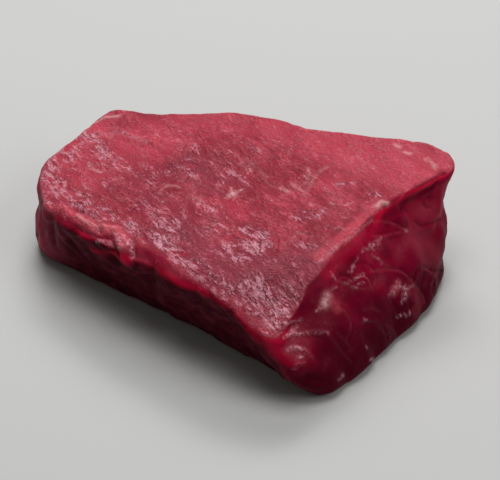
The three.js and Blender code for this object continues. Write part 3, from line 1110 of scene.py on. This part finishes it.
class Value:
    """A shader socket that takes part in Python expressions."""

    def __init__(self, graph: Graph, socket: bpy.types.NodeSocket) -> None:
        """Wraps a socket.

        Args:
            graph: The graph that the socket is in.
            socket: An output socket that carries a number.
        """
        self.graph = graph
        self.socket = socket

    def _with(self, operation: str, first: Operand, second: Operand) -> Value:
        """Adds one Math node.

        Args:
            operation: The node's operation.
            first: Its first input.
            second: Its second input.

        Returns:
            What the node gives.
        """
        node = self.graph.node("ShaderNodeMath", {"operation": operation}, {0: first, 1: second})
        return Value(self.graph, node.outputs[0])

    def __add__(self, other: Operand) -> Value:
        """The sum with another value."""
        return self._with("ADD", self, other)

    def __radd__(self, other: Operand) -> Value:
        """The sum with a number before it."""
        return self._with("ADD", other, self)

    def __sub__(self, other: Operand) -> Value:
        """The difference with another value."""
        return self._with("SUBTRACT", self, other)

    def __rsub__(self, other: Operand) -> Value:
        """A number less this value."""
        return self._with("SUBTRACT", other, self)

    def __mul__(self, other: Operand) -> Value:
        """The product with another value."""
        return self._with("MULTIPLY", self, other)

    def __rmul__(self, other: Operand) -> Value:
        """The product with a number before it."""
        return self._with("MULTIPLY", other, self)

    def between(self, low: float, high: float) -> Value:
        """Rises smoothly from 0 where the value is low to 1 where it is high.

        Args:
            low: Where the rise starts.
            high: Where it ends. It may be the lower one, and the value then falls.

        Returns:
            A value between 0 and 1.
        """
        node = self.graph.node(
            "ShaderNodeMapRange", {"interpolation_type": "SMOOTHSTEP"}, {0: self, 1: low, 2: high}
        )
        return Value(self.graph, node.outputs[0])

    def close_to(self, middle: float, below: float, above: float) -> Value:
        """Is 1 at one level of the value and fades to 0 on both sides of it.

        Args:
            middle: The level.
            below: Where the rise starts.
            above: Where the fall ends.

        Returns:
            A value between 0 and 1.
        """
        return self.between(below, middle) * self.between(above, middle)

    def from_to(self, start: float, end: float) -> Value:
        """The start where this value is 0, and the end where it is 1."""
        return start + (end - start) * self


Operand = Value | bpy.types.NodeSocket | float
Ink = bpy.types.NodeSocket | Colour


def opaque(ink: Ink) -> bpy.types.NodeSocket | tuple[float, float, float, float]:
    """A colour with full alpha. A link stays as it is."""
    return ink if isinstance(ink, bpy.types.NodeSocket) else (*ink, 1.0)


@dataclass(frozen=True)
class Pattern:
    """Soft noise: its waves in a millimetre, its finer octaves and how strong those are."""

    per_mm: float
    detail: float
    rough: float = 0.5


class Graph:
    """The nodes of one material."""

    def __init__(self, name: str) -> None:
        """Starts a material with its output alone.

        Args:
            name: The material's name.
        """
        self.material = bpy.data.materials.new(name)
        self.material.use_nodes = True
        self.tree = self.material.node_tree
        self.tree.nodes.clear()

    def node(
        self, kind: str, settings: dict[str, object], sockets: dict[int | str, object]
    ) -> bpy.types.Node:
        """Adds a node.

        Args:
            kind: The node's type.
            settings: Its properties, which are set first.
            sockets: Values or links for its inputs, by index or name.

        Returns:
            The node.
        """
        node = self.tree.nodes.new(kind)
        for name, setting in settings.items():
            setattr(node, name, setting)
        for key, given in sockets.items():
            if isinstance(given, Value):
                given = given.socket
            if isinstance(given, bpy.types.NodeSocket):
                self.tree.links.new(given, node.inputs[key])
            else:
                node.inputs[key].default_value = given
        return node

    def output(self, shader: bpy.types.NodeSocket) -> bpy.types.Material:
        """Ends the material with its output.

        Args:
            shader: What the surface shows.

        Returns:
            The finished material.
        """
        self.node("ShaderNodeOutputMaterial", {}, {"Surface": shader})
        return self.material

    def layer(self, name: str) -> Value:
        """A layer that the slab's skin stores at its points."""
        return Value(self, self.node("ShaderNodeAttribute", {"attribute_name": name}, {}).outputs["Fac"])

    def noise(self, place: bpy.types.NodeSocket, pattern: Pattern) -> Value:
        """Soft noise.

        Args:
            place: Coordinates in millimetres.
            pattern: How fine and how rough it is.

        Returns:
            A value of about 0.5, between 0 and 1.
        """
        sockets = {
            "Vector": place,
            "Scale": pattern.per_mm,
            "Detail": pattern.detail,
            "Roughness": pattern.rough,
        }
        return Value(self, self.node("ShaderNodeTexNoise", {}, sockets).outputs["Fac"])

    def vector(self, operation: str, sockets: dict[int | str, object]) -> bpy.types.NodeSocket:
        """Adds one Vector Math node.

        Args:
            operation: The node's operation.
            sockets: Values or links for its inputs.

        Returns:
            What the node gives.
        """
        return self.node("ShaderNodeVectorMath", {"operation": operation}, sockets).outputs[0]

    def warped(self, place: bpy.types.NodeSocket, per_mm: float, by_mm: float) -> bpy.types.NodeSocket:
        """Coordinates pushed to and fro, so that straight patterns on them wander.

        Args:
            place: Coordinates in millimetres.
            per_mm: How many waves the pushing has in a millimetre.
            by_mm: How far it pushes.

        Returns:
            The pushed coordinates.
        """
        push = self.node("ShaderNodeTexNoise", {}, {"Vector": place, "Scale": per_mm, "Detail": 1.0})
        return self.vector("MULTIPLY_ADD", {0: push.outputs["Color"], 1: (by_mm, by_mm, by_mm), 2: place})

    def turned(self, place: bpy.types.NodeSocket, degrees: float, stretch: float) -> bpy.types.NodeSocket:
        """Coordinates that lie along the grain, so that a pattern on them is drawn out along it.

        Args:
            place: Coordinates in millimetres.
            degrees: Which way the grain runs, from +X towards +Y.
            stretch: How many times longer than wide the pattern gets.

        Returns:
            The turned and shortened coordinates.
        """
        spun = self.node(
            "ShaderNodeVectorRotate",
            {"rotation_type": "Z_AXIS"},
            {"Vector": place, "Angle": -math.radians(degrees)},
        )
        return self.vector("MULTIPLY", {0: spun.outputs[0], 1: (1 / stretch, 1.0, 1.0)})

    def over(self, ground: Ink, *coats: tuple[Operand, Ink]) -> bpy.types.NodeSocket:
        """Lays colours over one another.

        Args:
            ground: The lowest colour.
            coats: How much of each further colour there is, and the colour.

        Returns:
            The mixed colour.
        """
        for share, ink in coats:
            sockets = {0: share, 6: opaque(ground), 7: opaque(ink)}
            ground = self.node("ShaderNodeMix", {"data_type": "RGBA"}, sockets).outputs[2]
        return ground

    def bump(self, height: Value) -> bpy.types.NodeSocket:
        """Relief from a height in millimetres."""
        return self.node(
            "ShaderNodeBump", {}, {"Strength": 1.0, "Distance": MM, "Height": height}
        ).outputs[0]


@dataclass(frozen=True)
class Surface:
    """How strongly a kind of surface shines, and how far light spreads in it."""

    shine: float
    depth: float


@dataclass(frozen=True)
class MeatFinish:
    """Wet, raw, lean meat: crimson with a grain and pale marbling, with painted sheen, glow and shade.

    Edges tell where a pattern's rise starts and ends. A band tells the level that a line follows, and
    where it has faded out below and above. A pair for a painted shadow or a painted sheen tells how
    much there is where it is dry, and where it is wet. A pair for a cover tells how much a mark covers
    between its threads or sparks, and on them.
    """

    name: str = "raw_meat"
    crimson: Colour = (0.36, 0.018, 0.038)
    rose: Colour = (0.50, 0.045, 0.075)
    # pale pink, also used for painted sheen
    pink: Colour = (0.60, 0.062, 0.098)
    warm: Colour = (0.50, 0.028, 0.060)
    purple: Colour = (0.22, 0.026, 0.050)
    dark: Colour = (0.21, 0.010, 0.028)
    end_red: Colour = (0.22, 0.023, 0.046)
    # painted shade of a rim facing up, and painted glow of a rim facing sideways
    rim_shade_facing_up: Colour = (0.19, 0.002, 0.019)
    rim_glow_facing_side: Colour = (0.62, 0.005, 0.042)
    cut_red: Colour = (0.27, 0.002, 0.026)
    # painted shade of the front side, which faces away from the lights
    flank_painted_shade: Colour = (0.055, 0.002, 0.008)
    # painted shade in creases, folds and splits
    shade: Colour = (0.06, 0.001, 0.006)
    # deep red of the cut's blotches, also used for painted shade
    deep: Colour = (0.075, 0.0005, 0.009)
    fat: Colour = (0.80, 0.42, 0.42)
    # painted sheen: the pale colour of light reflected by wet meat
    painted_sheen: Colour = (0.68, 0.29, 0.36)

    grain_turn: float = -52.0
    grain_stretch: float = 3.0
    grain_wander: Pair = (0.12, 5.0)
    split_turn: float = -58.0
    split_stretch: float = 6.0
    split_wander: Pair = (0.25, 2.0)
    threads: Pattern = Pattern(1.2, 4.0, 0.65)
    streaks: Pattern = Pattern(0.3, 3.0, 0.6)
    specks: Pattern = Pattern(1.8, 2.0, 0.6)
    sparks: Pattern = Pattern(1.0, 3.0, 0.7)
    blotches: Pattern = Pattern(0.07, 3.0, 0.55)
    mottling: Pattern = Pattern(0.30, 3.0, 0.6)
    hairs: Pattern = Pattern(0.22, 2.0)
    flecks: Pattern = Pattern(0.8, 4.0, 0.68)
    splits: Pattern = Pattern(0.8, 2.0)
    dew: Pattern = Pattern(1.3, 3.0, 0.7)
    smooth: Pattern = Pattern(0.5, 2.0)

    blotch_edges: Pair = (0.34, 0.66)
    streak_edges: Pair = (0.56, 0.40)
    thread_edges: Pair = (0.60, 0.38)
    crack_band: Band = (0.5, 0.43, 0.57)
    crack_streak_edges: Pair = (0.42, 0.52)
    streak_shadow: float = 0.55
    thread_shadow: float = 0.42
    wet_shadow: float = 0.45
    crack_shadow: Pair = (0.34, 0.70)
    hollow_shadow: float = 0.5
    cut_blotches: float = 0.45
    cut_blotch_edges: Pair = (0.50, 0.30)
    cut_dullness: float = 0.8
    flank_blotches: float = 0.35
    flank_blotch_edges: Pair = (0.45, 0.65)
    # painted shade: darker towards the foot
    shade_from_height: Pair = (25.0, 7.0)
    thin_end_from_x: Pair = (-50.0, -60.0)
    lip_cover: Pair = (0.85, 1.0)
    lip_thread_edges: Pair = (0.40, 0.56)
    warm_cover: float = 0.9
    warm_cut: float = 0.75
    warm_flank: float = 0.4
    glint_cover: Pair = (0.05, 0.90)
    spark_edges: Pair = (0.44, 0.60)
    fat_cover: Pair = (0.45, 1.0)
    fat_thread_edges: Pair = (0.38, 0.52)

    juice_of_wet: float = 0.11
    juice_of_flecks: float = 0.6
    juice_of_streaks: float = 0.4
    juice_edges: Pair = (0.565, 0.645)
    fleck_sheen: Pair = (0.58, 0.80)
    fleck_breaks: Pair = (0.55, 1.0)
    speck_edges: Pair = (0.40, 0.60)
    crack_gap: Pair = (1.0, 0.1)
    dew_sheen: Pair = (0.17, 0.41)
    dew_edges: Pair = (0.50, 0.60)
    dew_streak_edges: Pair = (0.38, 0.56)
    hair_sheen: float = 0.2
    hair_band: Band = (0.5, 0.485, 0.515)
    hair_thread_edges: Pair = (0.46, 0.56)

    thread_height: float = 0.42
    speck_height: float = 0.26
    streak_height: float = 0.8
    hair_height: float = 0.10
    crack_depth: float = 0.12
    smooth_height: float = 0.10
    dry_rough: float = 0.36
    wet_rough: float = 0.17
    side_rough: float = 0.45
    glint_rough: float = 0.33
    glint_coat: float = 0.8
    coat_rough: float = 0.2
    water_ior: float = 1.42
    spread_share: float = 0.3
    spread: Colour = (1.0, 0.12, 0.10)
    lip_graininess: float = 0.2
    sawn: Surface = Surface(0.4, 0.8)
    side: Surface = Surface(0.04, 2.0)


class MeatShader:
    """Builds the nodes of the meat's finish."""

    def __init__(self, finish: MeatFinish) -> None:
        """Starts the material with the slab's layers and the patterns of the meat.

        Args:
            finish: The colours, patterns and surfaces.
        """
        self.finish = finish
        self.graph = graph = Graph(finish.name)
        coordinates = graph.node("ShaderNodeTexCoord", {}, {}).outputs["Object"]
        self.place = place = graph.vector("SCALE", {0: coordinates, "Scale": 1 / MM})
        self.top, self.cut, self.flank = (graph.layer(face.value) for face in FINISHED_FACES)
        self.paints = {paint: graph.layer(paint.value) for paint in PAINTS}
        # painted shade in the creases and folds
        self.hollow = graph.layer(PAINTED_CREASE_SHADE)

        grain = graph.turned(
            graph.warped(place, *finish.grain_wander), finish.grain_turn, finish.grain_stretch
        )
        split = graph.turned(
            graph.warped(place, *finish.split_wander), finish.split_turn, finish.split_stretch
        )
        self.threads = graph.noise(grain, finish.threads)
        self.streaks = graph.noise(grain, finish.streaks)
        self.specks = graph.noise(place, finish.specks)
        self.mottling = graph.noise(place, finish.mottling)
        splits = graph.noise(split, finish.splits).close_to(*finish.crack_band)
        self.cracks = splits * self.streaks.between(*finish.crack_streak_edges)
        hairs = graph.noise(grain, finish.hairs).close_to(*finish.hair_band)
        self.hair = hairs * self.threads.between(*finish.hair_thread_edges)
        flecks = graph.noise(grain, finish.flecks)
        juice = (
            finish.juice_of_wet * self.paints[Paint.WET_AND_SHEEN]
            + finish.juice_of_flecks * flecks
            + finish.juice_of_streaks * self.streaks
        )
        self.juicy = juice.between(*finish.juice_edges)

    def material(self) -> bpy.types.Material:
        """Makes the material.

        Returns:
            The finished material.
        """
        finish, gloss, wet = self.finish, self.paints[Paint.GLOSS_AND_HIGHLIGHT], self.paints[Paint.WET_AND_SHEEN]
        colour = self._colour()
        grainy = (
            finish.thread_height * self.threads
            + finish.speck_height * self.specks
            + finish.streak_height * self.streaks
            + finish.hair_height * self.hair
            - finish.crack_depth * self.cracks * wet
        )
        smooth = finish.smooth_height * self.graph.noise(self.place, finish.smooth)
        top_rough = self.juicy.from_to(finish.dry_rough, finish.wet_rough)
        side_rough = gloss.from_to(finish.side_rough, finish.glint_rough)
        sawn = self._flesh(finish.sawn, colour, top_rough, grainy)
        side = self._flesh(finish.side, colour, side_rough, smooth, finish.glint_coat * gloss)
        on_top = self.top * self.paints[Paint.LIP].from_to(1.0, finish.lip_graininess)
        shader = self.graph.node("ShaderNodeMixShader", {}, {0: on_top, 1: side, 2: sawn})
        return self.graph.output(shader.outputs[0])

    def _colour(self) -> bpy.types.NodeSocket:
        """The whole slab's colour.

        Returns:
            The faces' own colours, with painted rim glow and shade, warm patches, painted shade in
            creases, painted sheen and highlights, and fat over them.
        """
        finish, graph, paints = self.finish, self.graph, self.paints
        coral, lip = paints[Paint.CORAL], paints[Paint.LIP]
        rim_glow_and_shade = graph.over(finish.rim_glow_facing_side, (self.top, finish.rim_shade_facing_up))
        sparks = graph.noise(self.place, finish.sparks).between(*finish.spark_edges)
        lip_threads = self.threads.between(*finish.lip_thread_edges)
        fat_threads = self.threads.between(*finish.fat_thread_edges)
        return graph.over(
            self._top_colour(),
            (self.cut * coral.from_to(1.0, finish.warm_cut), self._cut_colour()),
            # painted shade over the front side
            (self.flank * coral.from_to(1.0, finish.warm_flank), self._flank_painted_shade()),
            # painted glow and shade along the rims
            (lip * lip_threads.from_to(*finish.lip_cover), rim_glow_and_shade),
            (finish.warm_cover * coral, finish.warm),
            # painted shade in creases and folds
            (finish.hollow_shadow * self.hollow, finish.shade),
            # painted sheen of juice on the top
            (self._painted_sheen_share(), finish.painted_sheen),
            # painted highlights of the glints
            (paints[Paint.GLOSS_AND_HIGHLIGHT] * sparks.from_to(*finish.glint_cover), finish.painted_sheen),
            (paints[Paint.FAT] * fat_threads.from_to(*finish.fat_cover), finish.fat),
        )

    def _top_colour(self) -> bpy.types.NodeSocket:
        """The cut top: mottled crimson, darker along the grain and where wet, painted shade in its splits.

        Returns:
            The colour.
        """
        finish, wet = self.finish, self.paints[Paint.WET_AND_SHEEN]
        blotches = self.graph.noise(self.place, finish.blotches)
        return self.graph.over(
            finish.crimson,
            (blotches.between(*finish.blotch_edges), finish.rose),
            (finish.streak_shadow * self.streaks.between(*finish.streak_edges), finish.dark),
            (finish.thread_shadow * self.threads.between(*finish.thread_edges), finish.dark),
            (self.paints[Paint.DULL_AND_SHADE], finish.purple),
            (self.paints[Paint.PALE], finish.pink),
            (finish.wet_shadow * wet, finish.dark),
            (wet.from_to(*finish.crack_shadow) * self.cracks, finish.shade),
        )

    def _cut_colour(self) -> bpy.types.NodeSocket:
        """The slanting cut and the nose: glassy crimson, with painted shade deeper towards the foot.

        Returns:
            The colour.
        """
        finish = self.finish
        return self.graph.over(
            finish.cut_red,
            (self._axis("Z").between(*finish.shade_from_height), finish.deep),
            (finish.cut_blotches * self.mottling.between(*finish.cut_blotch_edges), finish.deep),
            (finish.cut_dullness * self.paints[Paint.DULL_AND_SHADE], finish.purple),
            (self.paints[Paint.SHADE_AND_DEEP_RED], finish.deep),
            (self.paints[Paint.PALE], finish.pink),
        )

    def _flank_painted_shade(self) -> bpy.types.NodeSocket:
        """The front side's painted shade: nearly black red, and redder at the thin end.

        Returns:
            The colour.
        """
        finish = self.finish
        return self.graph.over(
            finish.flank_painted_shade,
            (finish.flank_blotches * self.mottling.between(*finish.flank_blotch_edges), finish.end_red),
            (self._axis("X").between(*finish.thin_end_from_x), finish.end_red),
        )

    def _painted_sheen_share(self) -> Value:
        """The painted sheen of juice on the top: in flecks, in fine hairs and as dew.

        Returns:
            How much of it there is.
        """
        finish, wet, not_lip = self.finish, self.paints[Paint.WET_AND_SHEEN], 1.0 - self.paints[Paint.LIP]
        painted_sheen = self.top * not_lip * self.juicy
        painted_sheen = painted_sheen * self.specks.between(*finish.speck_edges).from_to(*finish.fleck_breaks)
        painted_sheen = painted_sheen * self.cracks.from_to(*finish.crack_gap)
        dew = self.graph.noise(self.place, finish.dew).between(*finish.dew_edges)
        dew = dew * self.streaks.between(*finish.dew_streak_edges) * self.top * not_lip
        return (
            wet.from_to(*finish.fleck_sheen) * painted_sheen
            + finish.hair_sheen * self.hair * self.top
            + wet.from_to(*finish.dew_sheen) * dew
        )

    def _axis(self, name: str) -> Value:
        """How far each place is along one axis, in millimetres."""
        axes = self.graph.node("ShaderNodeSeparateXYZ", {}, {0: self.place})
        return Value(self.graph, axes.outputs[name])

    def _flesh(
        self,
        surface: Surface,
        colour: bpy.types.NodeSocket,
        rough: Operand,
        height: Value,
        coat: Operand = 0.0,
    ) -> bpy.types.NodeSocket:
        """One kind of surface of the meat.

        Args:
            surface: How it shines and how far light spreads in it.
            colour: The meat's colour.
            rough: How rough the surface is.
            height: The surface's relief, in millimetres.
            coat: How much clear juice lies on it.

        Returns:
            The surface's shader.
        """
        finish = self.finish
        node = self.graph.node(
            "ShaderNodeBsdfPrincipled",
            {"subsurface_method": "RANDOM_WALK"},
            {
                "Base Color": colour,
                "Roughness": rough,
                "Normal": self.graph.bump(height),
                "IOR": finish.water_ior,
                "Specular IOR Level": surface.shine,
                "Subsurface Weight": finish.spread_share,
                "Subsurface Radius": finish.spread,
                "Subsurface Scale": surface.depth * MM,
                "Coat Weight": coat,
                "Coat Roughness": finish.coat_rough,
            },
        )
        return node.outputs[0]


# ---------------------------------------------------------------------------------- the studio


@dataclass(frozen=True)
class Lamp:
    """One soft rectangular light that points at the slab. Lengths in metres."""

    name: str
    azimuth: float
    elevation: float
    distance: float
    width: float
    height: float
    watts: float
    mirrored: bool = True

    def place(self) -> bpy.types.Object:
        """Makes the light.

        Returns:
            The light object.
        """
        data = bpy.data.lights.new(self.name, "AREA")
        data.shape = "RECTANGLE"
        data.size, data.size_y = self.width, self.height
        data.energy = self.watts
        turn, tilt = math.radians(self.azimuth), math.radians(self.elevation)
        away = Vector((math.cos(tilt) * math.sin(turn), -math.cos(tilt) * math.cos(turn), math.sin(tilt)))
        lamp = bpy.data.objects.new(self.name, data)
        lamp.location = away * self.distance
        lamp.rotation_euler = away.to_track_quat("Z", "Y").to_euler()
        lamp.visible_glossy = self.mirrored
        bpy.context.scene.collection.objects.link(lamp)
        return lamp


@dataclass(frozen=True)
class Studio:
    """The pale floor, the soft lights and the dim surroundings. Lengths in metres."""

    floor_size: float = 6.0
    floor_colour: Colour = (0.52, 0.52, 0.51)
    floor_rough: float = 0.9
    surroundings: float = 0.12
    surroundings_colour: Colour = (1.0, 1.0, 1.0)
    lamps: tuple[Lamp, ...] = (
        Lamp("key_behind", 180.0, 48.0, 1.1, 0.7, 0.4, 5.5, False),
        Lamp("sheen", 180.0, 47.0, 1.1, 0.34, 0.16, 2.0),
        Lamp("overhead", 180.0, 84.0, 1.1, 0.7, 0.5, 6.0),
        Lamp("fill_right", 70.0, 45.0, 1.4, 0.7, 0.7, 4.0),
    )

    def build(self) -> None:
        """Makes the floor, the lights and the world."""
        bpy.ops.object.select_all(action="DESELECT")
        bpy.ops.mesh.primitive_plane_add(size=self.floor_size)
        floor = bpy.context.object
        floor.name = "floor"
        floor.data.materials.append(self._floor_material())
        for lamp in self.lamps:
            lamp.place()
        world = bpy.data.worlds.new("studio")
        world.use_nodes = True
        background = world.node_tree.nodes["Background"]
        background.inputs["Color"].default_value = opaque(self.surroundings_colour)
        background.inputs["Strength"].default_value = self.surroundings
        bpy.context.scene.world = world
        bpy.context.scene.view_settings.view_transform = "Standard"

    def _floor_material(self) -> bpy.types.Material:
        """Makes the floor's plain pale finish.

        Returns:
            The material.
        """
        graph = Graph("pale_floor")
        shader = graph.node(
            "ShaderNodeBsdfPrincipled",
            {},
            {"Base Color": opaque(self.floor_colour), "Roughness": self.floor_rough},
        )
        return graph.output(shader.outputs[0])


def main() -> None:
    """Builds the view, the slab and the studio, and reports each piece."""
    logging.basicConfig(level=logging.INFO, format="%(name)s: %(message)s")
    view = PhotoView()
    view.camera()
    piece = SteakSlab(view).build()
    LOG.info("%s has %d faces", piece.name, len(piece.data.polygons))
    Studio().build()


if __name__ == "__main__":
    main()
